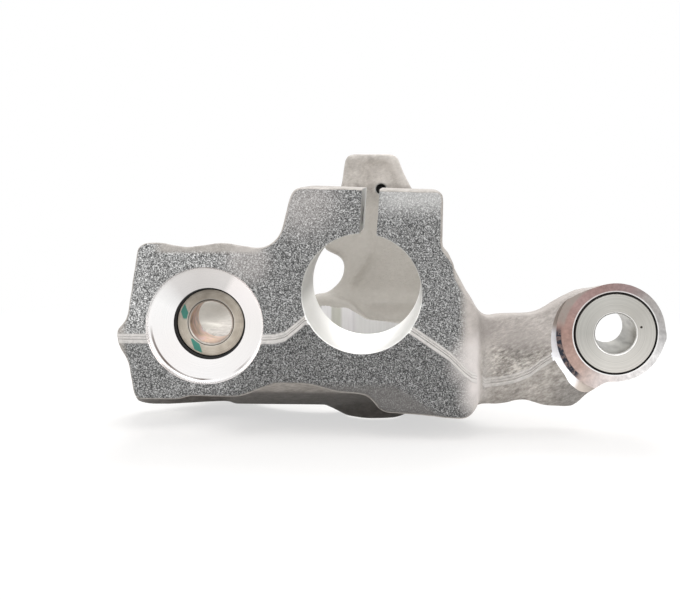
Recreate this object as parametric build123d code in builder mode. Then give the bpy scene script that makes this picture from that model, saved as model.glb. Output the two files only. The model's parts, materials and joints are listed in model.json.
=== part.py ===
from build123d import *
import os
from math import radians, tan

os.makedirs("parts", exist_ok=True)

# Steering knuckle for a strut suspension: one aluminium forging with two pressed-in steel inserts.
# Millimetres. The origin is on the wheel axis at the outboard hub face, +Z runs inboard along the
# wheel axis, +Y runs down the strut axis and +X points along the steering arm.

# ---- strut clamp ----
strut_x = 20.0            # strut axis, sideways from the wheel axis
strut_z = 66.0            # strut axis, inboard of the hub face
strut_bore = 52.0
head_front = 118.0        # front face of the head, ahead of the wheel axis
clamp_length = 68.0
clamp_rise = 46.8         # top of the clamp above the strut axis
clamp_half_left = 31.0
clamp_half_right = 35.7
clamp_slot = 7.4
slot_lean = 3.5           # degrees
pinch_bolt_hole = 11.0
pinch_height = 33.0       # pinch bolt axis above the strut axis
pinch_spotface = 22.0

# ---- die form of the head ----
die_draft = 6.0           # degrees, both ways from the parting line
parting_low = 28.5        # parting line beside the steering arm
parting_mid = 46.0        # parting line at the joint lobe
parting_high = 55.0       # parting line beside the strut bore

# ---- joint lobe and its pressed insert ----
joint_x = -47.0
joint_z = 52.5
lobe_depth = 32.0
joint_spotface = 47.0
spotface_depth = 3.4
joint_insert_dia = 30.0
joint_hole = 18.0
joint_recess = 2.6        # insert face below the spot face

# ---- steering arm and its taper insert ----
eye_x = 132.6
eye_z = 47.2
eye_radius = 22.6
eye_setback = 20.0        # machined eye face, behind the front of the head
eye_length = 31.0
eye_step = 4.0            # how far the arm stands proud of the eye face
eye_draft = 7.0           # degrees, the eye narrows towards the back
arm_depth = 38.0
arm_draft = 5.0
taper_insert_dia = 36.8
taper_large = 18.0
taper_small = 15.6
taper_stickout = 0.6

# ---- hub ring ----
hub_bore = 82.0
hub_outer = 118.0
hub_height = 37.0
hub_relief = 6.5          # face between the bolt bosses stands back from the hub face
hub_bolts = 3
hub_bolt_circle = 112.0
hub_bolt_hole = 10.4      # core of the M12 thread
hub_bolt_depth = 27.0
hub_bolt_angle = 55.0
hub_boss_dia = 27.0
hub_boss_flare = 62.0     # degrees, the bosses spread into the relieved face
pad_x = 1.0               # raised sensor pad on the inboard face of the ring
pad_width = 33.0
pad_rise = 13.0
plan_blend = 9.0          # fillets where arms leave the ring
ring_draft = 5.0          # degrees, both ways from the middle of the ring

# ---- caliper lugs ----
caliper_x = -79.0
caliper_mid_y = 5.0
caliper_spacing = 114.0
caliper_hole = 12.5
caliper_boss_dia = 30.0
caliper_low = 14.0
caliper_high = 42.0

# ---- lower leg ----
leg_front = 52.0          # leg's front face at the hub, behind the wheel axis
leg_thick = 18.0
leg_top = 131.0
leg_lean = 8.0            # degrees, away from the hub
leg_foot_left = -16.0
leg_foot_right = 86.0
tongue_x = 18.0
tongue_width = 30.2
tongue_hole = 6.8         # core of the M8 thread of the lower bracket
tongue_hole_depth = 9.0
tongue_hole_side = 6.2    # from the middle of the tongue
tongue_hole_drop = 20.5   # below the tongue's end
wing_reach = 12.0         # hose bracket wing, out from the leg's left edge

press_gap = 0.05          # radial gap of a pressed insert in its bore


def slope(height, draft=die_draft):
    return height * tan(radians(draft))


def rounded(corners):
    return FilletPolyline(*[(x, y) for x, y, r in corners], radius=[r for x, y, r in corners], close=True)


# ---- head: joint lobe and strut clamp share one front outline ----
lobe_left = joint_x - 34.7
lobe_low = joint_z - 34.7
lobe_top = joint_z + 36.2
clamp_left = strut_x - clamp_half_left
clamp_right = strut_x + clamp_half_right
clamp_top = strut_z + clamp_rise
head_low = 11.5
flank_x = clamp_right + 16.8
flank_round = 9.0         # the head's front turns into the flank through this radius

head_corners = [
    (lobe_left, lobe_low, 3),
    (joint_x - 14, lobe_low, 4),
    (joint_x - 10.5, lobe_low + 1.7, 4),
    (joint_x + 13, lobe_low + 1.4, 12),
    (strut_x - 38, 25.4, 13),
    (strut_x - 24, 25.4, 20),
    (strut_x - 11, 21.4, 16),
    (strut_x + 2.5, 20.6, 5),
    (strut_x + 8.5, head_low + 1.1, 6),
    (strut_x + 24, head_low + 0.2, 20),
    (flank_x - 5.5, head_low - 1.6, 7),
    (flank_x, head_low + 5.5, 5),
    (flank_x, 56, 7),
    (strut_x + 40.9, 73.5, 8),
    (strut_x + 40.3, 80, 2),
    (clamp_right - 0.4, 84.5, 4),
    (clamp_right, clamp_top - 2, 1.5),
    (clamp_left, clamp_top, 5.5),
    (clamp_left - 6.3, lobe_top - 1.9, 9),
    (joint_x + 20, lobe_top - 2.1, 12),
    (joint_x + 5.5, lobe_top + 0.3, 18),
    (joint_x - 10, lobe_top - 2.1, 18),
    (joint_x - 23, lobe_top + 0.3, 8),
    (joint_x - 30.6, lobe_top - 0.3, 2.5),
    (joint_x - 35.6, parting_mid + 8, 3),
    (joint_x - 41.2, parting_mid + 2.5, 2.5),
    (joint_x - 41, parting_mid - 4, 3),
    (joint_x - 37, parting_mid - 10, 5),
]


# die cavity of the head: the front leans back above and below the parting line, whose height and
# setback are given from left to right, and turns round into the flank at the right
die_top = clamp_top + 20
with BuildPart() as head_die:
    stations = [
        (joint_x - 60, parting_mid, 0),
        (joint_x + 23, parting_mid, 0),
        (strut_x - 25, parting_high, 0),
        (strut_x + 20, parting_high, 0),
        (strut_x + 38, parting_mid - 6.5, 0),
        (flank_x - flank_round, parting_low + 3, 0),
        (flank_x - flank_round * 0.5, parting_low + 1, flank_round * 0.13),
        (flank_x - flank_round * 0.13, parting_low, flank_round * 0.5),
        (flank_x, parting_low, flank_round),
        (flank_x + 30, parting_low, flank_round * 4),
    ]
    for x, z, setback in stations:
        front = setback - head_front
        with BuildSketch(Plane.YZ.offset(x)):
            with BuildLine():
                Polyline(
                    (front + slope(die_top - z), die_top),
                    (front, z),
                    (front + slope(z), 0),
                    (0, 0),
                    (0, die_top),
                    close=True,
                )
            make_face()
    loft(ruled=True)

with BuildPart() as head:
    with BuildSketch(Plane.XZ.offset(head_front)):
        with BuildLine():
            rounded(head_corners)
        make_face()
    extrude(amount=-lobe_depth)
    with BuildSketch(Plane.XZ.offset(head_front)):
        with BuildLine():
            rounded(head_corners)
        make_face()
        with Locations((clamp_left - 9, -20)):
            Rectangle(clamp_top * 2, clamp_top * 2, align=(Align.MIN, Align.MIN), mode=Mode.INTERSECT)
    extrude(amount=-clamp_length)
    add(head_die.part, mode=Mode.INTERSECT)

# ---- neck: runs back under the clamp and down onto the hub ring ----
neck_top = hub_height - 2
with BuildPart() as neck:
    for y, x0, x1, z0 in [
        (-head_front + 9, strut_x - 50, strut_x + 4, 26),
        (-62, -46, 44, hub_relief),
        (-30, -50, 52, hub_relief),
    ]:
        with BuildSketch(Plane.XZ.offset(-y)):
            with BuildLine():
                Polyline((x0, z0), (x1, z0), (x1, neck_top), (x0, neck_top), close=True)
            make_face()
    loft(ruled=True)

# ---- hub ring: drafted both ways, with the foot of the leg and the arms of the caliper lugs ----
lug_y = [caliper_mid_y - caliper_spacing / 2, caliper_mid_y + caliper_spacing / 2]
with BuildSketch(Plane.XY.offset(hub_height / 2)) as hub_plan:
    Circle(hub_outer / 2)
    with PolarLocations(hub_bolt_circle / 2, hub_bolts, start_angle=hub_bolt_angle):
        Circle(hub_boss_dia / 2 + 1.5)
    for y in lug_y:
        with BuildSketch(mode=Mode.PRIVATE) as lug_arm:
            with Locations((caliper_x, y)):
                Circle(caliper_boss_dia / 2 + 1)
            with Locations((-34, 26 if y > 0 else -26)):
                Circle(24)
            make_hull()
        add(lug_arm.sketch)
    with BuildLine():
        rounded([
            (leg_foot_left - 20, leg_front - 16, 2),
            (leg_foot_left - 14, leg_front + 15, 9),
            (leg_foot_right, leg_front + 15, 9),
            (leg_foot_right - 3, leg_front - 14, 12),
            (50, 8, 4),
        ])
    make_face()
    with BuildLine():
        rounded([
            (hub_outer / 2 - 5, 8, 4),
            (flank_x - 9, -46, 8),
            (flank_x - 4, -62, 4),
            (strut_x + 20, -70, 4),
            (strut_x + 10, -20, 4),
        ])
    make_face()
    # growing and shrinking the plan by the same amount rounds its inner corners
    offset(amount=plan_blend, mode=Mode.REPLACE)
    offset(amount=-plan_blend, mode=Mode.REPLACE)

# the foot of each bolt boss spreads into the relieved face, inside the ring's own outline
with BuildPart() as boss_feet:
    with BuildSketch(Plane.XY):
        with PolarLocations(hub_bolt_circle / 2, hub_bolts, start_angle=hub_bolt_angle):
            Circle(hub_boss_dia / 2)
    extrude(amount=hub_relief, taper=-hub_boss_flare)
    extrude(hub_plan.sketch, amount=-hub_height / 2, taper=ring_draft, mode=Mode.INTERSECT)

with BuildPart() as ring:
    extrude(hub_plan.sketch, amount=hub_height / 2 - 2, taper=ring_draft)
    extrude(hub_plan.sketch, amount=-(hub_height / 2 - hub_relief), taper=ring_draft)
    add(boss_feet.part)
    with BuildSketch(Plane.XY.offset(hub_height / 2)):
        Circle(hub_bore / 2 + 8)
    extrude(amount=hub_height / 2)
    # sensor pad: a rounded rise over the bearing bore, in front of the leg
    with BuildSketch(Plane.XZ.offset(-hub_bore / 2 + 6)):
        with BuildLine():
            rounded([
                (pad_x - pad_width / 2, hub_height / 2, 2),
                (pad_x + pad_width / 2, hub_height / 2, 2),
                (pad_x + pad_width / 2, hub_height, 5),
                (pad_x + pad_width * 0.2, hub_height + pad_rise * 0.75, 5),
                (pad_x - pad_width * 0.08, hub_height + pad_rise * 0.95, 5),
                (pad_x - pad_width * 0.44, hub_height + pad_rise, 3),
                (pad_x - pad_width / 2, hub_height + pad_rise * 0.7, 3),
            ])
        make_face()
    extrude(amount=-(leg_front + leg_thick / 2 - hub_bore / 2 + 6))
    with BuildSketch(Plane.XY.offset(caliper_low)):
        for y in lug_y:
            with Locations((caliper_x, y)):
                Circle(caliper_boss_dia / 2)
    extrude(amount=caliper_high - caliper_low)

# ---- lower leg: a leaning, drafted web with edge ribs that ends in the tongue ----
leg_plane = Plane(
    origin=(0, leg_front, hub_height),
    x_dir=(1, 0, 0),
    z_dir=Vector(0, -1, 0).rotate(Axis.X, -leg_lean),
)
leg_high = leg_top - hub_height
leg_low = 12 - hub_height
pocket_low = leg_high * 0.10
pocket_high = leg_high * 0.955
pocket_depth = leg_thick * 0.3
tongue_left = tongue_x - tongue_width / 2
tongue_right = tongue_x + tongue_width / 2
with BuildPart() as leg:
    with BuildSketch(leg_plane.offset(-leg_thick / 2)) as leg_outline:
        with BuildLine():
            rounded([
                (leg_foot_right, leg_low, 2),
                (leg_foot_right - 1.8, -4, 12),
                (tongue_right + 4.4, leg_high - 11, 7),
                (tongue_right + 0.4, leg_high, 5),
                (tongue_left + 0.4, leg_high, 4.5),
                (tongue_left - 2.2, leg_high * 0.79, 12),
                (tongue_left - wing_reach, leg_high * 0.6, 5),
                (tongue_left - wing_reach, leg_high * 0.41, 3),
                (tongue_left + 0.2, leg_high * 0.355, 5),
                (tongue_left - 0.4, leg_high * 0.23, 12),
                (leg_foot_left, leg_high * 0.06, 6),
                (leg_foot_left, leg_low, 2),
            ])
        make_face()
    extrude(amount=leg_thick / 2, taper=5)
    extrude(leg_outline.sketch, amount=-leg_thick / 2, taper=5)
    with BuildSketch(leg_plane):
        with BuildLine():
            rounded([
                (leg_foot_right - 25, pocket_low, 6),
                (tongue_right - 4.6, pocket_high, 3),
                (tongue_left + 9.2, pocket_high, 3),
                (tongue_left + 16.6, leg_high * 0.38, 8),
                (tongue_left + 4.5, leg_high * 0.18, 6),
                (tongue_left + 7, pocket_low, 4),
            ])
        make_face()
    extrude(amount=-pocket_depth, taper=12, mode=Mode.SUBTRACT)

# ---- steering arm and eye: drafted both ways from the parting line ----
eye_face = head_front - eye_setback
arm_front = eye_face + eye_step
arm_back = arm_front - arm_depth
reach = eye_x - flank_x
with BuildPart() as arm_die:
    for x, z in [
        (flank_x - 30, parting_low),
        (flank_x, parting_low),
        (flank_x + 0.16 * reach, parting_low - 2.5),
        (flank_x + 0.37 * reach, parting_low + 2),
        (flank_x + 0.52 * reach, parting_low + 8),
        (eye_x - 9, eye_z - 1.6),
        (eye_x + eye_radius * 2, eye_z - 1.6),
    ]:
        with BuildSketch(Plane.YZ.offset(x)):
            with BuildLine():
                Polyline(
                    (-arm_front, z),
                    (slope(eye_z * 2 - z) - arm_front, eye_z * 2),
                    (-slope(eye_z * 2 - z) - arm_back, eye_z * 2),
                    (-arm_back, z),
                    (-slope(z) - arm_back, 0),
                    (slope(z) - arm_front, 0),
                    close=True,
                )
            make_face()
    loft(ruled=True)

with BuildPart() as arm:
    with BuildSketch(Plane.XZ.offset(arm_front)):
        with BuildLine():
            rounded([
                (flank_x - 16, 15, 2),
                (flank_x + 0.14 * reach, 14, 8),
                (flank_x + 0.32 * reach, 16.6, 5),
                (flank_x + 0.49 * reach, 13.3, 8),
                (flank_x + 0.68 * reach, 13.2, 5),
                (eye_x - 11.5, eye_z - 27.5, 5),
                (eye_x - 4, eye_z - 21.5, 3),
                (eye_x, eye_z, 2),
                (eye_x - 7, eye_z + 21.2, 3),
                (eye_x - 17, eye_z + 18.8, 8),
                (flank_x + 0.42 * reach, eye_z + 9.3, 12),
                (flank_x + 0.1 * reach, eye_z + 8.8, 4),
                (flank_x - 4, eye_z, 2),
                (flank_x - 16, eye_z, 2),
            ])
        make_face()
    extrude(amount=-arm_depth, taper=arm_draft)
    with BuildSketch(Plane.XZ.offset(arm_front)):
        with Locations((eye_x, eye_z)):
            Circle(eye_radius)
    extrude(amount=-arm_depth, taper=eye_draft)
    # nub of the parting line at the tip of the eye
    for back in (0, arm_depth):
        tip_x = eye_x + eye_radius - slope(back, eye_draft)
        with BuildSketch(Plane.XZ.offset(arm_front - back)):
            with BuildLine():
                Polyline(
                    (tip_x - 12.6, eye_z - 16),
                    (tip_x + 1.2, eye_z - 2.4),
                    (tip_x + 1.2, eye_z - 0.8),
                    (tip_x - 12.6, eye_z + 12),
                    close=True,
                )
            make_face()
    loft(ruled=True)
    add(arm_die.part, mode=Mode.INTERSECT)

# ---- the forging: all forms in one, then the machined faces, bores and holes ----
lobe_face = head_front - spotface_depth
joint_bore = joint_insert_dia / 2 + press_gap
taper_bore = taper_insert_dia / 2 + press_gap
pinch_y = -head_front + clamp_length / 2 + 3
pinch_z = strut_z + pinch_height

with BuildPart() as knuckle_forging:
    add(head.part)
    add(neck.part)
    add(ring.part)
    add(leg.part)
    add(arm.part)

    # strut bore
    with BuildSketch(Plane.XZ.offset(head_front + 1)):
        with Locations((strut_x, strut_z)):
            Circle(strut_bore / 2)
    extrude(amount=-(clamp_length + 2), mode=Mode.SUBTRACT)

    # clamp slot, leaning to the steering arm side
    with BuildSketch(Plane.XZ.offset(head_front + 1)):
        with Locations(Location((strut_x + 1, strut_z), -slot_lean)):
            Rectangle(clamp_slot, clamp_top - strut_z + 10, align=(Align.CENTER, Align.MIN))
    extrude(amount=-(clamp_length + 2), mode=Mode.SUBTRACT)

    # pinch bolt hole across the slot, spot-faced under the bolt head
    with BuildSketch(Plane.YZ.offset(clamp_left - 10)):
        with Locations((pinch_y, pinch_z)):
            Circle(pinch_bolt_hole / 2)
    extrude(amount=90, mode=Mode.SUBTRACT)
    with BuildSketch(Plane.YZ.offset(clamp_right - 2.4)):
        with Locations((pinch_y, pinch_z)):
            Circle(pinch_spotface / 2)
    extrude(amount=20, mode=Mode.SUBTRACT)

    # joint lobe: spot face with its cone-shaped rim, and the insert's bore
    with BuildSketch(Plane.XZ.offset(lobe_face)):
        with Locations((joint_x, joint_z)):
            Circle(joint_spotface / 2)
    extrude(amount=spotface_depth + 2, taper=-45, mode=Mode.SUBTRACT)
    with BuildSketch(Plane.XZ.offset(lobe_face)):
        with Locations((joint_x, joint_z)):
            Circle(joint_bore)
    extrude(amount=-(lobe_depth + 2), mode=Mode.SUBTRACT)

    # eye: machined face with its cone-shaped rim, and the taper insert's bore
    with BuildSketch(Plane.XZ.offset(eye_face)):
        with Locations((eye_x, eye_z)):
            Circle(eye_radius + 2.6)
    extrude(amount=eye_step + 3, taper=-45, mode=Mode.SUBTRACT)
    with BuildSketch(Plane.XZ.offset(eye_face)):
        with Locations((eye_x, eye_z)):
            Circle(taper_bore)
    extrude(amount=-(eye_length + 10), mode=Mode.SUBTRACT)

    # hub bore, hub bolt holes and caliper holes
    with BuildSketch(Plane.XY.offset(-1)):
        Circle(hub_bore / 2)
    extrude(amount=hub_height + 20, mode=Mode.SUBTRACT)
    with BuildSketch(Plane.XY.offset(-1)):
        with PolarLocations(hub_bolt_circle / 2, hub_bolts, start_angle=hub_bolt_angle):
            Circle(hub_bolt_hole / 2)
    extrude(amount=hub_bolt_depth + 1, mode=Mode.SUBTRACT)
    with BuildSketch(Plane.XY.offset(caliper_low - 10)):
        for side in (-1, 1):
            with Locations((caliper_x, caliper_mid_y + side * caliper_spacing / 2)):
                Circle(caliper_hole / 2)
    extrude(amount=60, mode=Mode.SUBTRACT)

    # blind hole in the floor of the tongue's pocket
    with BuildSketch(leg_plane.offset(-pocket_depth)):
        with Locations((tongue_x + tongue_hole_side, leg_high - tongue_hole_drop)):
            Circle(tongue_hole / 2)
    extrude(amount=-tongue_hole_depth, mode=Mode.SUBTRACT)

knuckle_forging.part.label = "knuckle_forging"
export_step(knuckle_forging.part, "parts/knuckle_forging.step")

# ---- pressed steel insert of the joint lobe: shouldered sleeve with a chamfered hole ----
joint_length = lobe_depth - spotface_depth - joint_recess
with BuildPart() as joint_insert:
    with BuildSketch(Plane.XZ.offset(lobe_face - joint_recess)):
        with Locations((joint_x, joint_z)):
            Circle(joint_insert_dia / 2)
    extrude(amount=-joint_length)
    with BuildSketch(Plane.XZ.offset(lobe_face - joint_recess)):
        with Locations((joint_x, joint_z)):
            Circle(joint_hole / 2)
    extrude(amount=-joint_length, mode=Mode.SUBTRACT)
    front_edges = joint_insert.edges().group_by(Axis.Y)[0].sort_by(SortBy.RADIUS)
    chamfer(front_edges[0], 1.4)
    chamfer(joint_insert.edges().group_by(Axis.Y)[0].sort_by(SortBy.RADIUS)[-1], 2, 0.6)
joint_insert.part.label = "joint_insert"
export_step(joint_insert.part, "parts/joint_insert.step")

# ---- pressed steel taper insert of the steering arm ----
with BuildPart() as taper_insert:
    with BuildSketch(Plane.XZ.offset(eye_face + taper_stickout)):
        with Locations((eye_x, eye_z)):
            Circle(taper_insert_dia / 2)
    extrude(amount=-eye_length)
    with BuildSketch(Plane.XZ.offset(eye_face + taper_stickout)):
        with Locations((eye_x, eye_z)):
            Circle(taper_large / 2)
    with BuildSketch(Plane.XZ.offset(eye_face + taper_stickout - eye_length)):
        with Locations((eye_x, eye_z)):
            Circle(taper_small / 2)
    loft(mode=Mode.SUBTRACT)
    chamfer(taper_insert.edges().group_by(Axis.Y)[0].sort_by(SortBy.RADIUS)[0], 0.7)
    chamfer(taper_insert.edges().group_by(Axis.Y)[0].sort_by(SortBy.RADIUS)[-1], 2, 0.8)
taper_insert.part.label = "taper_insert"
export_step(taper_insert.part, "parts/taper_insert.step")
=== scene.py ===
import bpy
import json
from math import cos, pi, radians, sin, tan
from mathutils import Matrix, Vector

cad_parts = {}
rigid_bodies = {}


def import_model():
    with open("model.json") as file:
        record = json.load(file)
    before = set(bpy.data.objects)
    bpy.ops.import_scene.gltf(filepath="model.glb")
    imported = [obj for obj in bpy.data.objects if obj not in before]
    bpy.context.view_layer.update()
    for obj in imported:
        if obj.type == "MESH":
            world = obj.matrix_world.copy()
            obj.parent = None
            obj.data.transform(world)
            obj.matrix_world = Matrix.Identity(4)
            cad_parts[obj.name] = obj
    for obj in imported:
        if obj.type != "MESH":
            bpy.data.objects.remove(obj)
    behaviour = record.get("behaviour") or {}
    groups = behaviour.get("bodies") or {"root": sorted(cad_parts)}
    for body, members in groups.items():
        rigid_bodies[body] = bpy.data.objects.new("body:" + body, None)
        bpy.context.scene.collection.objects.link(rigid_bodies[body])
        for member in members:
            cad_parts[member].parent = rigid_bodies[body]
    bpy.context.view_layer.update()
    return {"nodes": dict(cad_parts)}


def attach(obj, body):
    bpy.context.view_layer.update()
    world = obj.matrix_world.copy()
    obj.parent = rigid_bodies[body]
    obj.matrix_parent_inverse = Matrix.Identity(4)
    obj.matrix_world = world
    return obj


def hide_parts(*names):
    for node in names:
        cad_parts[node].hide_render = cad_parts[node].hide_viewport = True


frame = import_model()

bpy.ops.object.select_all(action="DESELECT")

# ---- camera ----
# Stands in front of the head and looks down the strut bore, from a little above it and to the
# steering arm's side, through a lens of 67 mm.
camera = bpy.data.cameras.new("camera")
camera.sensor_fit = "AUTO"
camera.sensor_width = 36.0
camera.lens = 67.2
view = bpy.data.objects.new("camera", camera)
bpy.context.scene.collection.objects.link(view)
view.location = (0.0406, -0.6651, 0.1195)
view.rotation_euler = Vector((-0.0543, 0.9934, -0.1015)).to_track_quat("-Z", "Y").to_euler()
bpy.context.scene.camera = view
bpy.context.scene.view_settings.view_transform = "Standard"


# ---- forging: its die form ----
# The knuckle itself, one closed-die aluminium forging. The CAD solid is copied and its bores are
# filled, and then every corner gets the radius that the dies leave, inside and outside.
def only(piece):
    """Selects one piece alone and makes it the active one."""
    bpy.ops.object.select_all(action="DESELECT")
    piece.select_set(True)
    bpy.context.view_layer.objects.active = piece


def apply(piece, kind, **settings):
    """Puts a modifier with the given settings on a piece and applies it."""
    only(piece)
    step = piece.modifiers.new(kind.lower(), kind)
    for name, value in settings.items():
        setattr(step, name, value)
    bpy.ops.object.modifier_apply(modifier=step.name)


def facing(way):
    """The turn that brings a round primitive's Z axis to the given way."""
    return Vector(way).to_track_quat("Z", "Y").to_euler()


inward, outward = Vector((0, 1, 0)), Vector((0, -1, 0))
across, up = Vector((1, 0, 0)), Vector((0, 0, 1))
head_front = -0.118
die_draft = tan(radians(6))
# parting line of the dies from left to right: x, z, and how far it stands behind the head's front
parting = [
    (-0.107, 0.046, 0), (-0.024, 0.046, 0), (-0.005, 0.055, 0), (0.040, 0.055, 0),
    (0.058, 0.0395, 0), (0.0635, 0.0315, 0), (0.068, 0.0295, 0.0012),
    (0.0713, 0.0285, 0.0045), (0.0725, 0.0285, 0.009),
]


def head_skin(x, z):
    """The head's front at x, z: it leans back above and below the parting line."""
    for (x0, z0, back0), (x1, z1, back1) in zip(parting, parting[1:]):
        share = min((x - x0) / (x1 - x0), 1)
        line, back = z0 + share * (z1 - z0), back0 + share * (back1 - back0)
        if x <= x1:
            break
    return head_front + back + die_draft * abs(z - line)


solid = frame["nodes"]["knuckle_forging"]
forging = solid.copy()
forging.data = solid.data.copy()
forging.name = "forging"
bpy.context.scene.collection.objects.link(forging)
forging.parent = None
only(forging)
bpy.ops.object.mode_set(mode="EDIT")
bpy.ops.mesh.select_all(action="SELECT")
bpy.ops.mesh.remove_doubles(threshold=1e-6)
bpy.ops.object.mode_set(mode="OBJECT")
# as forged, the lobe's left wall bulges, its top falls away to the back, and the eye's top is full
lobe_left, lobe_right, lobe_bulge, lobe_fall = -0.077, -0.022, 0.0015, 0.0050
arm_end, eye_growth = 0.105, 0.0008
for corner in forging.data.vertices:
    spot = corner.co
    if spot.x < lobe_left and 0.048 < spot.z < 0.0895:
        spot.x -= lobe_bulge
    if spot.x < lobe_right and spot.z > 0.086 and spot.y > -0.09:
        spot.z -= lobe_fall
    if spot.x > arm_end and spot.z > 0.058:
        spot.z += eye_growth

strut_x, strut_z, strut_radius, clamp_back = 0.020, 0.066, 0.026, -0.050
joint_x, joint_z, lobe_face, lobe_depth = -0.047, 0.0525, -0.1146, 0.032
eye_x, eye_z, eye_face, eye_depth, eye_radius, arm_front = 0.1326, 0.0472, -0.098, 0.0338, 0.0226, -0.102
pinch, nut_face = Vector((-0.011, -0.081, 0.099)), 0.0532
hub_radius, hub_relief, hub_height = 0.041, 0.0065, 0.037
bolt_circle, bolt_turns = 0.056, [radians(55), radians(175), radians(295)]
bolts = [Vector((bolt_circle * cos(turn), bolt_circle * sin(turn), 0)) for turn in bolt_turns]
lugs = [Vector((-0.079, -0.052, 0.014)), Vector((-0.079, 0.062, 0.014))]
hole_length = 0.028
# the tongue's hole leans 8 degrees down from level
tongue_mouth, tongue_way = Vector((0.0242, 0.06758, 0.10903)), Vector((0, 0.990268, -0.139173))


def arm_skin(x, z):
    """The steering arm's front, which is flat."""
    return arm_front


def join_to_forging(piece, skin_at):
    """Adds a filling to the forging; its near end is moved onto the skin."""
    only(piece)
    bpy.ops.object.transform_apply(location=True, rotation=True, scale=True)
    bpy.ops.object.mode_set(mode="EDIT")
    bpy.ops.mesh.select_all(action="SELECT")
    bpy.ops.mesh.subdivide(number_cuts=7)
    bpy.ops.object.mode_set(mode="OBJECT")
    near = min(corner.co.y for corner in piece.data.vertices) + 1e-5
    for corner in piece.data.vertices:
        if skin_at and corner.co.y < near:
            corner.co.y = skin_at(corner.co.x, corner.co.z)
    forging.select_set(True)
    bpy.context.view_layer.objects.active = forging
    bpy.ops.object.join()


def filling(start, way, radius, length, skin_at=None):
    """A round plug of metal, from a start along a way."""
    bpy.ops.mesh.primitive_cylinder_add(
        vertices=48, radius=radius, depth=length, end_fill_type="TRIFAN",
        location=start + way * (length / 2), rotation=facing(way),
    )
    join_to_forging(bpy.context.object, skin_at)


# the plugs are a little wider than the holes that they fill
clamp_depth, strut_plug, joint_plug, eye_plug = clamp_back - head_front, strut_radius + 0.001, 0.0285, 0.0195
pinch_plug, nut_plug, hub_plug = 0.0075, 0.0114, hub_radius + 0.001
bolt_plug, lug_plug, tongue_plug = 0.0070, 0.0080, 0.0045
filling(Vector((strut_x, head_front, strut_z)), inward, strut_plug, clamp_depth, head_skin)
filling(Vector((joint_x, head_front, joint_z)), inward, joint_plug, lobe_depth, head_skin)
# the eye's boss swells out of the arm's front, and its root is full below it
filling(Vector((eye_x, arm_front, eye_z + 0.0004)), inward, eye_radius, 0.0060)
for root_x, root_z in [(0.1125, 0.0205), (0.1215, 0.0275)]:
    filling(Vector((root_x, arm_front, root_z)), inward, 0.0062, 0.0090)
filling(Vector((eye_x, eye_face, eye_z)), inward, eye_plug, eye_depth)
filling(pinch, across, pinch_plug, 0.060)
filling(Vector((0.048, pinch.y, pinch.z)), across, nut_plug, 0.0074)
filling(hub_relief * up, up, hub_plug, hub_height - hub_relief)
for bolt in bolts:
    filling(bolt, up, bolt_plug, hole_length)
for lug in lugs:
    filling(lug, up, lug_plug, hole_length)
# the caliper lug at the back stands a little higher than the other
filling(Vector((-0.0775, 0.062, 0.036)), up, 0.0150, 0.010)
filling(tongue_mouth, tongue_way, tongue_plug, 0.0100)
# square blocks of metal where the clamp's slot and the eye's nub will be
for place, turn, scale, skin_at in [
    ((0.022, (head_front + clamp_back) / 2, 0.0985), 0, (0.014, clamp_depth, 0.0265), head_skin),
    ((0.1446, -0.099, 0.0456), radians(45), (0.017, 0.006, 0.017), arm_skin),
]:
    bpy.ops.mesh.primitive_cube_add(size=1, location=place, rotation=(0, turn, 0), scale=scale)
    join_to_forging(bpy.context.object, skin_at)

# grown and shrunk back, so that first the inner corners get their radius and then the edges; the
# skin ends a little inside the solid, where the flash line's ridges will stand on it
die_fillet, edge_radius, flash_stock = 0.0030, 0.0011, 0.0003
grid, fine_grid = 0.0014, 0.00125
apply(forging, "REMESH", mode="VOXEL", voxel_size=grid)
apply(forging, "DISPLACE", strength=die_fillet, mid_level=0)
apply(forging, "REMESH", mode="VOXEL", voxel_size=grid)
apply(forging, "DISPLACE", strength=-(die_fillet + edge_radius), mid_level=0)
apply(forging, "REMESH", mode="VOXEL", voxel_size=grid)
apply(forging, "DISPLACE", strength=edge_radius - flash_stock, mid_level=0)
apply(forging, "REMESH", mode="VOXEL", voxel_size=fine_grid)
apply(forging, "SMOOTH", factor=0.5, iterations=4)
forging.data.materials.clear()


# ---- forging: its skin ----
# Shot-blasted aluminium, grey and coarse as salt and pepper on the head's front, and warmer,
# smoother and lumpy behind it. The trimmed flash is lighter. Painted light makes the head lighter
# above its parting line and puts painted highlights on a few places; painted shade darkens the
# hollows and the places under the head and the arm.
class Value:
    """A socket of a finish's nodes; arithmetic on it adds Math nodes."""

    def __init__(self, finish, socket):
        self.finish, self.socket = finish, socket

    def sum(self, kind, left, right):
        return self.finish.node("Math", {"operation": kind}, {0: left, 1: right})

    def __add__(self, other):
        return self.sum("ADD", self, other)

    def __sub__(self, other):
        return self.sum("SUBTRACT", self, other)

    def __rsub__(self, other):
        return self.sum("SUBTRACT", other, self)

    def __mul__(self, other):
        return self.sum("MULTIPLY", self, other)

    __radd__, __rmul__ = __add__, __mul__

    def __truediv__(self, other):
        return self.sum("DIVIDE", self, other)


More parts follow.
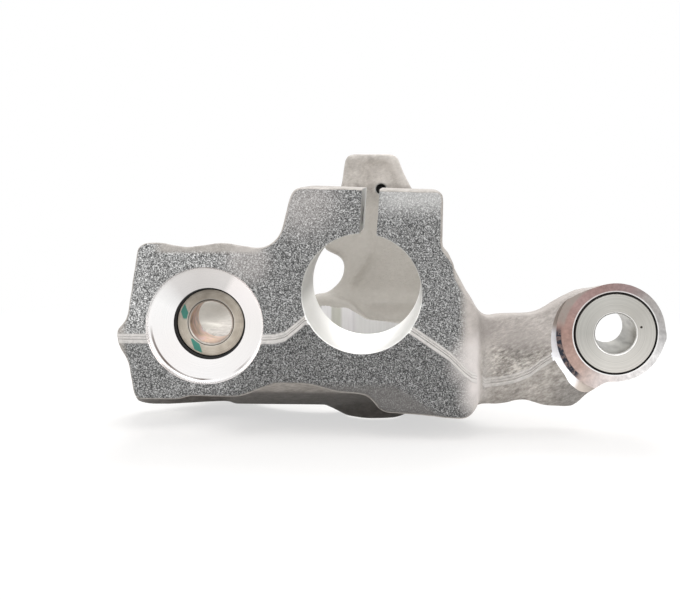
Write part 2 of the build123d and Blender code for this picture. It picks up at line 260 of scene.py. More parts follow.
class Finish:
    """A material and its nodes."""

    def __init__(self, name, **constants):
        self.material = bpy.data.materials.new(name)
        self.material.use_nodes = True
        self.tree = self.material.node_tree
        self.shader = self.tree.nodes["Principled BSDF"]
        for socket, value in constants.items():
            self.shader.inputs[socket.replace("_", " ")].default_value = value

    def node(self, kind, settings, sockets, out=0):
        """A new node: its settings first, then the values or links of its sockets."""
        new = self.tree.nodes.new("ShaderNode" + kind)
        for name, value in settings.items():
            if name == "stops":
                while len(new.color_ramp.elements) < len(value):
                    new.color_ramp.elements.new(1)
                for element, (place, colour) in zip(new.color_ramp.elements, value):
                    element.position = place
                    channels = colour if isinstance(colour, tuple) else (colour, colour, colour)
                    element.color = (*channels, 1)
            else:
                setattr(new, name, value)
        for name, value in sockets.items():
            if isinstance(value, Value):
                self.tree.links.new(value.socket, new.inputs[name])
            else:
                new.inputs[name].default_value = value
        return Value(self, new.outputs[out])

    def place(self, axes):
        """Object coordinates, and then each of the axes asked for."""
        spot = self.node("TexCoord", {}, {}, "Object")
        return [spot] + [self.node("SeparateXYZ", {}, {0: spot}, axis) for axis in axes]

    def step(self, value, start, end):
        """0 where the value is at start, 1 at end, and smooth between."""
        return self.node("MapRange", {"interpolation_type": "SMOOTHSTEP"}, {0: value, 1: start, 2: end})

    def ramp(self, value, *stops):
        """A colour for each value, through stops of (place, colour)."""
        return self.node("ValToRGB", {"stops": stops}, {0: value})

    def noise(self, spot, scale, detail=2.0, roughness=0.5):
        sockets = {"Vector": spot, "Scale": scale, "Detail": detail, "Roughness": roughness}
        return self.node("TexNoise", {}, sockets)

    def drawn(self, spot, pitch, detail=2.0, roughness=0.5):
        """Noise squeezed by a pitch along each axis, for marks that run one way."""
        squeezed = self.node("VectorMath", {"operation": "MULTIPLY"}, {0: spot, 1: pitch})
        return self.noise(squeezed, 1.0, detail, roughness)

    def lathe_lines(self, radius, pitch, detail=2.0):
        """Noise that changes only with the distance from an axis, as a turning tool leaves it."""
        sockets = {"W": radius, "Scale": pitch, "Detail": detail}
        return self.node("TexNoise", {"noise_dimensions": "1D"}, sockets)

    def mix(self, share, first, second, way="MIX"):
        """The first colour where the share is 0, the second where it is 1, or another blend."""
        first, second = [(*c, 1) if isinstance(c, tuple) else c for c in (first, second)]
        settings = {"data_type": "RGBA", "blend_type": way}
        return self.node("Mix", settings, {0: share, 6: first, 7: second}, 2)

    def near(self, spot, centre, inner, outer):
        """1 within the inner distance of a place, fading to 0 at the outer one."""
        away = self.node("VectorMath", {"operation": "DISTANCE"}, {0: spot, 1: centre}, "Value")
        return self.step(away, outer, inner)

    def feed(self, **links):
        """Links values to the shader's own sockets."""
        for socket, value in links.items():
            self.tree.links.new(value.socket, self.shader.inputs[socket.replace("_", " ")])

    def bump(self, height, distance, strength=1.0):
        self.feed(Normal=self.node("Bump", {}, {"Height": height, "Distance": distance, "Strength": strength}))


skin = Finish("forged_skin", Metallic=0.0)
spot, x, y, z = skin.place("XYZ")

# the parting line, where flash was trimmed: left and right of the strut bore, and along the arm
left_flash = [
    (-0.024, 0.046), (-0.018, 0.0462), (-0.0134, 0.0473), (-0.009, 0.0509), (-0.0045, 0.0548),
]
right_flash = [
    (0.034, 0.0550), (0.038, 0.0527), (0.0432, 0.0496), (0.0488, 0.0457), (0.054, 0.0422),
    (0.0583, 0.0392), (0.0618, 0.0357), (0.0648, 0.0326), (0.0679, 0.030),
]
arm_flash = [
    (0.0814, 0.0258), (0.0881, 0.0272), (0.0948, 0.030), (0.0992, 0.0336), (0.1027, 0.0359),
    (0.107, 0.0385),
]
flash = [(-0.088, 0.046), *left_flash, *right_flash, (0.0713, 0.0287), (0.0747, 0.0252), *arm_flash]
left_end, length, height = -0.1, 0.26, 0.1
stops = [((flash_x - left_end) / length, flash_z / height) for flash_x, flash_z in flash]
above = z - skin.ramp((x - left_end) / length, *stops) * height
upper = skin.step(above, -0.002, 0.002)

# where the skin is blasted coarse, and where the dies left it smooth
normal_y = skin.node("SeparateXYZ", {}, {0: skin.node("TexCoord", {}, {}, "Normal")}, "Y")
front = skin.step(normal_y, -0.45, -0.80)
forward = skin.step(normal_y, 0.10, -0.20)
lobe_top = skin.step(z, 0.0825, 0.0850) * skin.step(x, -0.073, -0.066) * skin.step(x, -0.022, -0.027)
flank = skin.step(x, 0.0615, 0.0670) * skin.step(z, 0.037, 0.045)
nub = skin.step(x, -0.0825, -0.0865)
blasted = front * skin.step(y, -0.100, -0.1085) * (1 - lobe_top * 0.85) * (1 - flank) * (1 - nub * 0.75)

grain = skin.noise(spot, 1850, 2, 0.6)
coarse = skin.noise(spot, 700, 1)
patches = skin.noise(spot, 55, 3, 0.6)
lumps = skin.noise(spot, 300, 3, 0.6)
turned_spot = skin.node("VectorRotate", {"rotation_type": "Y_AXIS"}, {"Vector": spot, "Angle": 0.45})
creases = skin.drawn(turned_spot, (420, 420, 1050), 4, 0.65)

# blasted skin, lighter on the lobe; painted light makes it lighter above the parting line, with
# painted highlights on the lobe's upper left and at the clamp's top right corner
salt = skin.ramp(
    grain * 0.85 + coarse * 0.15, (0.35, (0.035, 0.036, 0.036)), (0.46, (0.16, 0.16, 0.158)),
    (0.55, (0.46, 0.46, 0.455)), (0.66, (1.0, 1.0, 0.99)),
)
lobe = skin.step(x, -0.026, -0.046)
# painted highlight: the lobe is lighter on its upper part and along its left edge
lobe_highlight = lobe * (skin.step(z, 0.078, 0.086) * 0.12 + skin.step(x, -0.072, -0.079) * 0.2)
# painted light: the head's front is lighter above the parting line, where its drafted face tilts up
level = (0.62 + lobe * 0.24 + lobe_highlight) * upper + (0.49 + lobe * 0.17) * (1 - upper)
salted = skin.mix(level, (0.0, 0.0, 0.0), salt)
# painted highlight: the clamp's front turns pale towards its top right corner
clamp_highlight = skin.step(z, 0.097, 0.107) * skin.step(x, 0.020, 0.034)
salted = skin.mix(clamp_highlight * 0.42, salted, (0.80, 0.79, 0.775))
# painted shade: the head's face turns dark and smooth towards its lower edge, under the strut bore and to its
# right
lower_edge_shade = skin.step(above, -0.0275, -0.0315) * skin.step(x, -0.02, 0.0)
salted = skin.mix(lower_edge_shade * 0.7, salted, (0.16, 0.15, 0.143))

# smooth skin, streaked on the arm and pale on the leg; painted light on the tongue's top, and painted
# shade in the arm's dip and root, low on the leg's back, under the arm and under the head
warm = skin.ramp(
    lumps * 0.45 + patches * 0.25 + creases * 0.3, (0.36, (0.27, 0.243, 0.218)),
    (0.5, (0.43, 0.395, 0.36)), (0.64, (0.61, 0.57, 0.53)),
)
streaks = skin.ramp(
    creases * 0.7 + patches * 0.3, (0.38, (0.13, 0.115, 0.10)), (0.5, (0.36, 0.33, 0.30)),
    (0.61, (0.72, 0.675, 0.62)),
)
arm = skin.step(x, 0.074, 0.080) * front
# painted shade in a dip on the arm's front
arm_dip_shade = arm * skin.near(spot, (0.090, -0.101, 0.043), 0.003, 0.012)
leg = skin.step(y, -0.02, 0.02) * skin.step(z, 0.112, 0.096) * forward
# painted light: the tongue's top is lighter, more so on its right
tongue_top_light = skin.step(y, 0.0, 0.02) * skin.step(z, 0.108, 0.114) * (0.25 + skin.step(x, 0.014, 0.030) * 0.35)
# painted shade where the arm's root meets the head
arm_root_shade = skin.near(spot, (0.0730, -0.104, 0.050), 0.004, 0.012)
for share, colour in [
    (arm * (0.3 + upper * 0.5), streaks), (arm_dip_shade * 0.4, (0.10, 0.09, 0.08)),
    (lobe_top * 0.55, (0.42, 0.39, 0.36)), (flank * 0.6, (0.50, 0.455, 0.43)),
    (leg * 0.75, (0.80, 0.76, 0.69)), (tongue_top_light, (0.74, 0.695, 0.645)),
    (arm_root_shade * 0.45, (0.20, 0.18, 0.165)),
]:
    warm = skin.mix(share, warm, colour)
# painted shade: near-black low on the leg's back, under the arm's lower part and under the head
leg_low_shade = skin.step(y, 0.030, 0.045) * skin.step(z, 0.114, 0.100) * forward
arm_underside_shade = skin.near(spot, (0.116, -0.100, 0.018), 0.004, 0.018)
under_head_shade = skin.step(z, 0.036, 0.030) * skin.step(x, 0.075, 0.068)
under_head_shade = under_head_shade * skin.step(y, -0.092, -0.084) * skin.step(y, -0.020, -0.038)
warm = skin.mix(leg_low_shade * 0.38 + arm_underside_shade * 0.5 + under_head_shade * 0.74, warm, (0.07, 0.065, 0.06))

# painted highlights: pale washes on the head's right corner, the lobe's upper right and the clamp's top
highlight_washes = skin.near(spot, (0.0705, -0.112, 0.036), 0.005, 0.017) * (0.95 - skin.step(x, 0.0700, 0.0735) * 0.75)
highlight_washes = highlight_washes + skin.near(spot, (0.0715, -0.112, 0.021), 0.003, 0.013) * 0.8
highlight_washes = highlight_washes + skin.near(spot, (-0.030, -0.116, 0.080), 0.004, 0.014) * 0.35
highlight_washes = highlight_washes + skin.near(spot, (-0.006, -0.112, 0.106), 0.004, 0.022) * 0.3
colour = skin.mix(blasted, warm, salted)
colour = skin.mix(highlight_washes * (0.4 + patches), colour, (0.74, 0.69, 0.665))

# the trimmed flash: a bright band with two dark lines in it
band = skin.step(above * above, 0.0000068, 0.0000030) * front * skin.step(y, -0.095, -0.101)
band = band * (0.30 + patches * 0.7 + coarse * 0.5) * (1 - skin.step(x, 0.0725, 0.0760) * 0.35)
lines = skin.ramp(
    above * 150 + 0.5 + coarse * 0.03, (0.17, 0.7), (0.24, 1.0), (0.42, 1.0), (0.47, 0.6), (0.52, 1.0),
    (0.61, 0.95), (0.65, 0.65), (0.69, 1.0), (0.79, 1.0), (0.84, 0.7),
)
colour = skin.mix(band, colour, skin.mix(1.0, (0.70, 0.67, 0.645), lines, "MULTIPLY"))
skin.feed(Base_Color=colour, Roughness=0.72 - band * 0.2)
smooth_relief = lumps * 0.4 + creases * (0.5 + upper * 0.4)
skin.bump(grain * blasted * 0.35 + smooth_relief * (1 - blasted), 0.0006)
forging.data.materials.append(skin.material)


# ---- forging: its flash line ----
# Where the dies met, the trimmed flash leaves a low ridge with a groove in it. It runs along the
# parting line over the head, and again along the steering arm.
def ridge(path, skin_at):
    """Extrudes the ridge's section from point to point of a path of (x, z)."""
    x, z = path[0]
    y = skin_at(x, z)
    section = [
        (0.0016, -0.0022), (0.0004, -0.0021), (0.0001, -0.0015), (0.0001, -0.0007),
        (0.0004, -0.0003), (0.0000, 0.0001), (0.0000, 0.0005), (0.0004, 0.0009),
        (0.0002, 0.0013), (0.0002, 0.0018), (0.0005, 0.0022), (0.0016, 0.0022),
    ]
    strip = bpy.data.meshes.new("ridge")
    strip.from_pydata([(x, y + depth, z + rise) for depth, rise in section], [], [range(len(section))])
    piece = bpy.data.objects.new("ridge", strip)
    bpy.context.scene.collection.objects.link(piece)
    only(piece)
    bpy.ops.object.mode_set(mode="EDIT")
    bpy.ops.mesh.select_all(action="SELECT")
    for next_x, next_z in path[1:]:
        next_y = skin_at(next_x, next_z)
        bpy.ops.mesh.extrude_region_move(
            TRANSFORM_OT_translate={"value": (next_x - x, next_y - y, next_z - z)}
        )
        x, y, z = next_x, next_y, next_z
    bpy.ops.mesh.select_all(action="SELECT")
    bpy.ops.mesh.normals_make_consistent(inside=False)
    bpy.ops.object.mode_set(mode="OBJECT")
    return piece


def combine(way, *sets):
    """Joins sets of pieces to the forging or cuts them from it, all in one boolean."""
    tools = bpy.data.collections.new("tools")
    for pieces in sets:
        for piece, finish in pieces:
            piece.data.materials.append(finish.material)
        only(pieces[0][0])
        for piece, finish in pieces:
            piece.select_set(True)
        bpy.ops.object.join()
        tools.objects.link(bpy.context.object)
    only(forging)
    step = forging.modifiers.new("combine", "BOOLEAN")
    step.operation = way
    step.solver = "EXACT"
    step.material_mode = "TRANSFER"
    step.operand_type = "COLLECTION"
    step.collection = tools
    bpy.ops.object.modifier_apply(modifier=step.name)
    for piece in list(tools.objects):
        bpy.data.objects.remove(piece)
    bpy.data.collections.remove(tools)


ridges = [
    ridge([(-0.085, 0.046), *left_flash, (0, 0.055)], head_skin),
    ridge([*right_flash, (0.0705, 0.0288)], head_skin),
    ridge([(0.0775, 0.0255), *arm_flash], arm_skin),
]
combine("UNION", [(piece, skin) for piece in ridges])


# ---- forging: its machined places ----
# Bores, spot faces, slot and bolt holes are cut through the forged skin, so their edges are crisp.
# The bores shine, apart from a few whose walls are painted near-black as shade.
def turned(name, section, start, way, closed=False):
    """Spins a section of (radius, depth) into a solid, as on a lathe, and stands it along a way."""
    count = len(section)
    outline = bpy.data.meshes.new(name)
    outline.from_pydata(
        [(radius, 0, depth) for radius, depth in section],
        [(i, (i + 1) % count) for i in range(count if closed else count - 1)], [],
    )
    piece = bpy.data.objects.new(name, outline)
    bpy.context.scene.collection.objects.link(piece)
    only(piece)
    bpy.ops.object.mode_set(mode="EDIT")
    bpy.ops.mesh.select_all(action="SELECT")
    bpy.ops.mesh.spin(steps=128, angle=2 * pi, center=(0, 0, 0), axis=(0, 0, 1))
    bpy.ops.mesh.select_all(action="SELECT")
    bpy.ops.mesh.remove_doubles(threshold=1e-6)
    bpy.ops.mesh.normals_make_consistent(inside=False)
    bpy.ops.object.mode_set(mode="OBJECT")
    piece.rotation_euler = facing(way)
    piece.location = start
    bpy.ops.object.transform_apply(location=True, rotation=True, scale=True)
    return piece


def drill(start, way, radius, length):
    """A round cutter, from a start outside the metal along a way."""
    return turned("drill", [(0, 0), (radius, 0), (radius, length), (0, length)], start, way)


bored = Finish("bored_aluminium", Metallic=1.0, Roughness=0.55)
spot, z = bored.place("Z")
marks = bored.drawn(spot, (150, 5200, 150))
polished = bored.ramp(marks, (0.35, (0.95, 0.94, 0.915)), (0.65, (1.0, 0.995, 0.975)))
# painted shade: above the strut bore's middle the metal is grey, so the bore's upper wall is darker than its
# lower one
bored.feed(Base_Color=bored.mix(bored.step(z, 0.058, 0.068), polished, (0.58, 0.575, 0.555)))
bored.bump(marks, 0.00004)

# painted reflections: the hub's bore carries bright and dark upright bands across x
hub_bored = Finish("bored_hub", Metallic=0.35, Roughness=0.35)
spot, x = hub_bored.place("X")
reflection_bands = hub_bored.ramp(
    (x + 0.03) / 0.06, (0.20, (0.34, 0.325, 0.30)), (0.34, (0.36, 0.34, 0.315)),
    (0.37, (0.95, 0.94, 0.95)), (0.445, (0.96, 0.95, 0.96)), (0.46, (0.66, 0.655, 0.60)),
    (0.53, (0.70, 0.70, 0.63)), (0.56, (0.97, 0.965, 0.97)), (0.66, (0.90, 0.885, 0.90)),
    (0.70, (0.97, 0.965, 0.955)),
)
marks = hub_bored.drawn(spot, (900, 900, 60))
scored = hub_bored.ramp(marks, (0.3, 0.93), (0.7, 1.0))
hub_bored.feed(Base_Color=hub_bored.mix(1.0, reflection_bands, scored, "MULTIPLY"))
hub_bored.bump(marks, 0.00004)

# painted shade: near-black walls for the pinch and tongue holes and for the seats round the two inserts
bore_shade = Finish("bore_painted_shade", Base_Color=(0.012, 0.011, 0.010, 1), Metallic=0.3, Roughness=0.4)

# the strut bore, its chamfered front rim, which follows the drafted skin, and the clamp's slot
strut_cutter = drill(Vector((strut_x, head_front - 0.01, strut_z)), inward, strut_radius + 0.0001, 0.09)
bores = [(strut_cutter, bored)]
rim = turned(
    "rim", [(0, -0.006), (strut_radius + 0.0067, -0.006), (strut_radius - 0.0004, 0.0011), (0, 0.0011)],
    Vector((strut_x, 0, strut_z)), inward,
)
for corner in rim.data.vertices:
    corner.co.y += head_skin(corner.co.x, corner.co.z)
faces = [(rim, bored)]
slot_x, slot_lean, slot_width = 0.021, 3.5, 0.0076
bpy.ops.object.select_all(action="DESELECT")
bpy.ops.mesh.primitive_cube_add(
    size=1, location=(slot_x, head_front + 0.034, strut_z + 0.040), scale=(slot_width, 0.091, 0.06)
)
slot_cutter = bpy.context.object
bpy.ops.object.transform_apply(location=True, rotation=True, scale=True)
bpy.ops.transform.rotate(
    value=radians(-slot_lean), orient_axis="Y", center_override=(slot_x, head_front, strut_z)
)
bpy.ops.object.transform_apply(location=True, rotation=True, scale=True)

# the pinch bolt's hole and its nut face, the hub's bore, the holes of the hub bolts and the caliper
# lugs with their faces, and the tongue's countersunk hole
pinch_radius, nut_face_radius = 0.0045, 0.0112
bolt_radius, bolt_face_radius, lug_radius, lug_face_radius = 0.0053, 0.0150, 0.00635, 0.0128
tongue_radius, face_cut = 0.0030, 0.0006
bores.append((drill(pinch - across * 0.02, across, pinch_radius, 0.10), bore_shade))
faces.append((drill(Vector((nut_face, pinch.y, pinch.z)), across, nut_face_radius, 0.02), bored))
bores.append((drill(Vector((0, 0, -0.01)), up, hub_radius + 0.0002, 0.066), hub_bored))
for bolt in bolts:
    faces.append((drill(bolt + up * face_cut, -up, bolt_face_radius, 0.01), bored))
    bores.append((drill(bolt - up * 0.009, up, bolt_radius, 0.036), bored))
for lug in lugs:
    bores.append((drill(lug - up * 0.011, up, lug_radius, 0.06), bored))
    faces.append((drill(lug + up * face_cut, -up, lug_face_radius, 0.01), bored))
bores.append((drill(tongue_mouth - tongue_way * 0.003, tongue_way, tongue_radius, 0.012), bore_shade))
countersink = turned(
    "countersink", [(0, -0.0025), (0.0064, -0.0025), (0.0027, 0.0012), (0, 0.0012)],
    tongue_mouth, tongue_way,
)
slots = [(slot_cutter, bored), (countersink, bored)]


def polar(finish, x, z, centre_x, centre_z):
    """Distance from an axis along Y, and the turn about it: 0 at +X, a quarter at +Z."""
    side, rise = x - centre_x, z - centre_z
    radius = finish.node("Math", {"operation": "SQRT"}, {0: side * side + rise * rise})
    turn = finish.node("Math", {"operation": "ARCTAN2"}, {0: rise, 1: side})
    return radius, turn / (2 * pi) + finish.node("Math", {"operation": "LESS_THAN"}, {0: turn, 1: 0.0})


# The joint lobe's spot face is turned bright; the fan of light and shade that its lathe lines throw is
# painted by the turn about its centre as painted reflections, and a painted shadow line lies near its rim.
faced = Finish("turned_spot_face", Metallic=1.0, Roughness=0.22)
x, z = faced.place("XZ")[1:]
# its centre is a little off the insert's
ring_x, ring_z = joint_x - 0.0019, joint_z - 0.0009
radius, turn = polar(faced, x, z, ring_x, ring_z)
reflection_fan = faced.ramp(
    turn, (0, (0.93, 0.90, 0.885)), (0.10, (0.95, 0.91, 0.90)), (0.155, (0.93, 0.885, 0.87)),
    (0.175, (0.70, 0.675, 0.66)), (0.27, (0.66, 0.635, 0.62)), (0.35, (0.70, 0.68, 0.67)),
    (0.385, (0.84, 0.83, 0.825)), (0.43, (0.97, 0.965, 0.96)), (0.60, (0.97, 0.94, 0.93)),
    (0.75, (0.97, 0.955, 0.95)), (1, (0.93, 0.90, 0.885)),
)
lathe = faced.lathe_lines(radius, 3800)
reflection_fan = faced.mix(0.5, reflection_fan, faced.ramp(lathe, (0.3, 0.86), (0.7, 1.0)), "MULTIPLY")
# painted shadow: a dark line near the rim, on two arcs
shadow_line = faced.ramp(
    turn, (0.50, 0.0), (0.54, 0.8), (0.62, 1.0), (0.70, 0.45), (0.74, 0.9), (0.77, 0.0), (0.83, 0.0),
    (0.86, 0.5), (0.91, 0.0),
)
shadow_line = shadow_line * faced.step(radius, 0.0236, 0.0240) * faced.step(radius, 0.0249, 0.0245)
faced.feed(Base_Color=faced.mix(shadow_line, reflection_fan, (0.16, 0.125, 0.11)))
faced.bump(lathe, 0.00003)
spot_depth = 0.0012
spot_face = turned("cutter", [
    (0, 0), (0.0243, 0), (0.0250, 0.0003), (0.0257, 0.0009), (0.0260, 0.0017), (0.0260, 0.009), (0, 0.009),
], Vector((ring_x, lobe_face + spot_depth, ring_z)), outward)
bores.append((spot_face, faced))
insert_seat = turned("cutter", [
    (0, -0.0005), (0.0159, -0.0005), (0.0159, 0.0040), (0.0151, 0.0042), (0.0151, 0.04), (0, 0.04),
], Vector((joint_x - 0.0002, lobe_face, joint_z - 0.0002)), inward)
faces.append((insert_seat, bore_shade))

# The eye's face is milled, with a painted reddish brown reflection on the arm's side and a painted bright
# one at its tip; its cone-shaped rim carries a painted highlight against a painted dark, rough corner.
milled = Finish("milled_eye_face", Metallic=0.8, Roughness=0.34)
spot, x, z = milled.place("XZ")
radius, turn = polar(milled, x, z, eye_x, eye_z)
# painted reflections: reddish brown on the arm's side and pale at the tip, by the turn about the eye
reddish_reflection = milled.ramp(
    turn, (0, (0.46, 0.45, 0.445)), (0.13, (0.40, 0.375, 0.36)), (0.20, (0.33, 0.245, 0.24)),
    (0.30, (0.33, 0.22, 0.205)), (0.38, (0.40, 0.275, 0.26)), (0.50, (0.37, 0.24, 0.205)),
    (0.62, (0.50, 0.36, 0.31)), (0.70, (0.72, 0.64, 0.615)), (0.80, (0.86, 0.83, 0.82)),
    (0.93, (0.76, 0.75, 0.745)), (1, (0.46, 0.45, 0.445)),
)
blotches = milled.noise(spot, 420, 3, 0.7)
shade = milled.mix(1.0, reddish_reflection, milled.ramp(blotches, (0.3, 0.78), (0.7, 1.15)), "MULTIPLY")
side = milled.ramp(turn, (0.475, 0.0), (0.50, 1.0), (0.63, 1.0), (0.652, 0.0))
# painted shade: a near-black ring at the face's outer corner, on one side
corner = milled.step(radius, 0.0238, 0.0243) * (0.55 + milled.step(blotches, 0.42, 0.55) * 0.45) * side
# painted highlight: the cone-shaped rim is bright on one side and dull elsewhere
cone_highlight = milled.mix(side, (0.42, 0.37, 0.33), (0.93, 0.935, 0.97))
bare = milled.ramp(turn, (0.27, 0.0), (0.33, 1.0), (0.46, 1.0), (0.485, 0.0))
bare = bare * milled.step(radius, 0.0222, 0.0236)
# painted highlight: a bright ring at the face's inner edge, round the bore
lip_highlight = milled.ramp(turn, (0, 0.7), (0.3, 0.55), (0.5, 0.8), (0.6, 1.0), (0.9, 1.0), (1, 0.7))
for share, colour in [
    (corner, (0.030, 0.034, 0.046)), (milled.step(radius, 0.0262, 0.0265), cone_highlight),
    (bare * (0.35 + blotches), (0.34, 0.30, 0.27)),
    (lip_highlight * milled.step(radius, 0.0193, 0.0190), (0.93, 0.92, 0.91)),
]:
    shade = milled.mix(share, shade, colour)
milled.feed(Base_Color=shade)
milled.bump(blotches, 0.0001)
eye_cut = turned(
    "cutter", [(0, 0), (0.0264, 0), (0.0354, 0.009), (0, 0.009)], Vector((eye_x, eye_face, eye_z)), outward
)
bores.append((eye_cut, milled))
bush_radius = 0.0184
eye_bore = drill(Vector((eye_x, eye_face - 0.0021, eye_z)), inward, bush_radius + 0.00025, 0.05)
faces.append((eye_bore, bore_shade))
combine("DIFFERENCE", bores, faces, slots)

only(forging)
bpy.ops.object.shade_smooth_by_angle(angle=radians(32))
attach(forging, "root")
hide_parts("knuckle_forging")

# ---- joint insert ----
# Steel sleeve pressed into the joint lobe, zinc-plated to a khaki tint. Its hole is chamfered inside a thin
# bead, which carry painted glints, and a stroke of paint crosses its face. Painted shade darkens its top and
# edge, and a painted reflection lies in its hole.
sleeve = Finish("zinc_plated_steel", Metallic=0.75, Roughness=0.38)
spot, x, y, z = sleeve.place("XYZ")
radius, turn = polar(sleeve, x, z, joint_x, joint_z)
lathe = sleeve.lathe_lines(radius, 5200, 1)
cloud = sleeve.noise(spot, 260, 3)
zinc = sleeve.ramp(
    lathe * 0.5 + cloud * 0.5, (0.34, (0.38, 0.33, 0.27)), (0.5, (0.52, 0.46, 0.385)),
    (0.66, (0.64, 0.585, 0.50)),
)
# painted glints: two bright lines with a dark one between, on the hole's chamfer and bead
chamfer_glints = sleeve.ramp(
    radius * 500 - 4.5, (0.1, (0.80, 0.765, 0.70)), (0.45, (0.84, 0.80, 0.74)),
    (0.52, (0.16, 0.135, 0.11)), (0.64, (0.16, 0.135, 0.11)), (0.72, (0.80, 0.76, 0.69)),
)
zinc = sleeve.mix(sleeve.step(radius, 0.01075, 0.0106), zinc, chamfer_glints)
# the stroke of paint is straight, and a gap parts it in two
stroke = (x + 0.0561) * 0.9448 + (z - 0.0497) * 0.3276
painted = sleeve.step(stroke * stroke + cloud * 0.0000006, 0.0000028, 0.0000022)
painted = painted * sleeve.step(x, -0.0505, -0.0515)
painted = painted * sleeve.step(radius, 0.0107, 0.0109) * sleeve.step(radius, 0.0142, 0.0140)
upper_part = sleeve.step(z, joint_z + 0.0010, joint_z + 0.0022)
lower_part = sleeve.step(z, joint_z - 0.0068, joint_z - 0.0076)
painted = painted * (upper_part + lower_part)
zinc = sleeve.mix(painted, zinc, (0.045, 0.24, 0.185))
# painted shadow: a near-black ring at the sleeve's outer edge, where the gap to the lobe is in shade
zinc = sleeve.mix(sleeve.step(radius, 0.01475, 0.01485), zinc, (0.01, 0.009, 0.008))
# painted reflection: orange, pink and grey tones inside the hole
deep = sleeve.step(y, -0.1099, -0.1093) * sleeve.step(radius, 0.0097, 0.0094)
inside = sleeve.ramp(
    sleeve.noise(spot, 160, 2), (0.35, (0.28, 0.19, 0.15)), (0.5, (0.52, 0.34, 0.20)),
    (0.6, (0.56, 0.34, 0.30)), (0.7, (0.50, 0.45, 0.42)),
)
# painted shade: the sleeve's face is darker towards its top
shaded = sleeve.ramp(turn, (0.05, 0.92), (0.18, 0.62), (0.28, 0.50), (0.38, 0.66), (0.52, 0.88), (0.8, 1.0))
zinc = sleeve.mix(1.0, zinc, shaded, "MULTIPLY")
sleeve.feed(Base_Color=sleeve.mix(deep, zinc, inside), Metallic=0.75 - painted * 0.7)
sleeve.bump(lathe, 0.00003)

joint_insert = turned("zinc_insert", [
    (0.0147, 0), (0.0150, 0.0004), (0.0150, 0.0243), (0.0145, 0.0248), (0.0098, 0.0248),
    (0.0094, 0.0244), (0.0094, 0.0008), (0.0100, 0.0002), (0.0101, 0.0001), (0.0102, 0.0004),
    (0.0104, 0.0004), (0.0105, 0),
], Vector((joint_x, lobe_face + spot_depth + 0.0026, joint_z)), inward, closed=True)
joint_insert.data.materials.append(sleeve.material)
apply(joint_insert, "BEVEL", width=0.00008, segments=2, limit_method="ANGLE", angle_limit=radians(25))
only(joint_insert)
bpy.ops.object.shade_smooth_by_angle(angle=radians(30))
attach(joint_insert, "root")
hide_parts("joint_insert")

# ---- taper insert ----
# Turned steel bush pressed into the steering arm's eye. Its face stands just proud of the eye, and
# the tie rod's taper runs through it; a punch dot marks its face. Painted reflections fan across its
# face, a painted highlight rings its hole and a painted shadow rings its edge.
ground = Finish("turned_steel", Metallic=0.85, Roughness=0.30)
spot, x, y, z = ground.place("XYZ")
radius, turn = polar(ground, x, z, eye_x, eye_z)
lathe = ground.lathe_lines(radius, 2600)
# painted reflections: a fan of lighter and darker tones by the turn about the eye
reflection_fan = ground.ramp(
    turn, (0, (0.55, 0.535, 0.50)), (0.12, (0.48, 0.465, 0.43)), (0.3, (0.53, 0.52, 0.485)),
    (0.5, (0.46, 0.45, 0.42)), (0.7, (0.66, 0.64, 0.60)), (0.85, (0.64, 0.62, 0.58)),
    (1, (0.55, 0.535, 0.50)),
)
face = ground.mix(1.0, reflection_fan, ground.ramp(lathe, (0.3, 0.88), (0.7, 1.08)), "MULTIPLY")
# painted shadow: a near-black ring at the bush's outer edge
face = ground.mix(ground.step(radius, 0.01755, 0.01765), face, (0.03, 0.027, 0.025))
# painted highlight: a bright ring at the hole's front edge
rim_light = ground.step(radius, 0.0099, 0.0096) * ground.step(y, -0.0975, -0.0979)
face = ground.mix(rim_light, face, (0.94, 0.93, 0.91))
smear = ground.drawn(spot, (180, 60, 420))
wall = ground.ramp(
    smear, (0.30, (0.18, 0.17, 0.145)), (0.5, (0.33, 0.32, 0.285)), (0.7, (0.42, 0.405, 0.365))
)
in_bore = ground.step(y, -0.0979, -0.0970) * ground.step(radius, 0.0120, 0.0110)
face = ground.mix(in_bore, face, wall)
dot = ground.near(spot, (0.1438, -0.0986, 0.0502), 0.0004, 0.0007)
ground.feed(Base_Color=ground.mix(dot, face, (0.03, 0.025, 0.02)))
ground.bump(lathe - dot, 0.00004)

taper_insert = turned("taper_bush", [
    (0.01755, 0), (bush_radius, 0.0009), (bush_radius, 0.0304), (0.0178, 0.0310), (0.0084, 0.0310),
    (0.0078, 0.0304), (0.0090, 0.0008), (0.0097, 0),
], Vector((eye_x, eye_face - 0.0006, eye_z)), inward, closed=True)
taper_insert.data.materials.append(ground.material)
apply(taper_insert, "BEVEL", width=0.00008, segments=2, limit_method="ANGLE", angle_limit=radians(25))
only(taper_insert)
bpy.ops.object.shade_smooth_by_angle(angle=radians(30))
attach(taper_insert, "root")
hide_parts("taper_insert")

# ---- floor ----
# White studio paper under the part. It takes the part's soft shadow and fades to plain white.
bpy.ops.object.select_all(action="DESELECT")
bpy.ops.mesh.primitive_plane_add(size=6, location=(0, 0, -0.0001))
floor = bpy.context.object
floor.name = "floor"
paper = Finish("paper", Base_Color=(0.88, 0.88, 0.88, 1), Roughness=0.8)
paper.shader.inputs["Specular IOR Level"].default_value = 0.0
spot = paper.place("")[0]


def shader(kind, sockets):
    """A shader of the paper, to be added to others or mixed with them."""
    return paper.node(kind, {}, sockets)


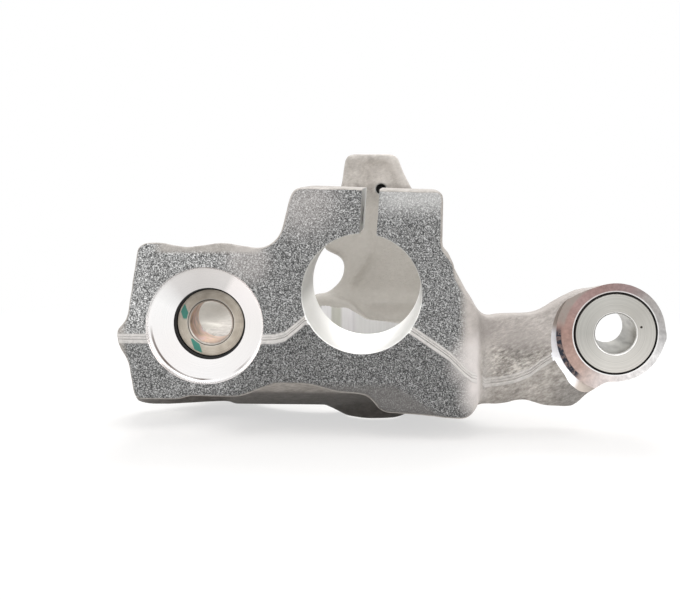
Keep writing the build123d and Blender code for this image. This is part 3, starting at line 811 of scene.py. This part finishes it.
shadowed = shader("AddShader", {
    0: shader("BsdfDiffuse", {"Color": (0.40, 0.392, 0.385, 1)}),
    1: shader("Emission", {"Color": (1, 1, 1, 1), "Strength": 0.60}),
})
plain = shader("Emission", {"Color": (1, 1, 1, 1), "Strength": 1.0})
reach = paper.node("VectorMath", {"operation": "LENGTH"}, {0: spot}, "Value")
seen = paper.node("LightPath", {}, {}, "Is Camera Ray") + paper.node("LightPath", {}, {}, "Is Glossy Ray")
# camera and glossy rays see glowing paper that still takes the shadow; others meet plain paper
white = shader("MixShader", {0: paper.step(reach, 0.18, 0.5), 1: shadowed, 2: plain})
final = shader("MixShader", {0: seen, 1: Value(paper, paper.shader.outputs[0]), 2: white})
paper.tree.links.new(final.socket, paper.tree.nodes["Material Output"].inputs["Surface"])
floor.data.materials.append(paper.material)

# ---- light ----
# A white room, dimmer as a light than as it looks, with a strong soft box high behind the part, a
# smaller one high in front of it, and a weak one at each side.
world = bpy.data.worlds.new("studio")
bpy.context.scene.world = world
world.use_nodes = True
sky = world.node_tree
path = sky.nodes.new("ShaderNodeLightPath")
seen_rays = sky.nodes.new("ShaderNodeMath")
seen_rays.operation = "ADD"
sky.links.new(path.outputs["Is Camera Ray"], seen_rays.inputs[0])
sky.links.new(path.outputs["Is Glossy Ray"], seen_rays.inputs[1])
lit_strength, seen_strength = 0.66, 1.0
strength = sky.nodes.new("ShaderNodeMapRange")
sky.links.new(seen_rays.outputs[0], strength.inputs[0])
strength.inputs["To Min"].default_value = lit_strength
strength.inputs["To Max"].default_value = seen_strength
sky.nodes["Background"].inputs["Color"].default_value = (1, 1, 1, 1)
sky.links.new(strength.outputs[0], sky.nodes["Background"].inputs["Strength"])

aim = Vector((0.02, -0.06, 0.05))
for name, place, size, power in [
    ("overhead", (0.05, 0.55, 0.80), 0.6, 6.0),
    ("front", (0.06, -0.75, 0.75), 0.5, 2.6),
    ("left", (-0.9, -0.25, 0.45), 0.6, 1.5),
    ("right", (0.9, -0.35, 0.55), 0.6, 1.8),
]:
    lamp = bpy.data.lights.new(name, "AREA")
    lamp.size = size
    lamp.energy = power
    light = bpy.data.objects.new(name, lamp)
    bpy.context.scene.collection.objects.link(light)
    light.location = place
    light.rotation_euler = (aim - Vector(place)).to_track_quat("-Z", "Y").to_euler()
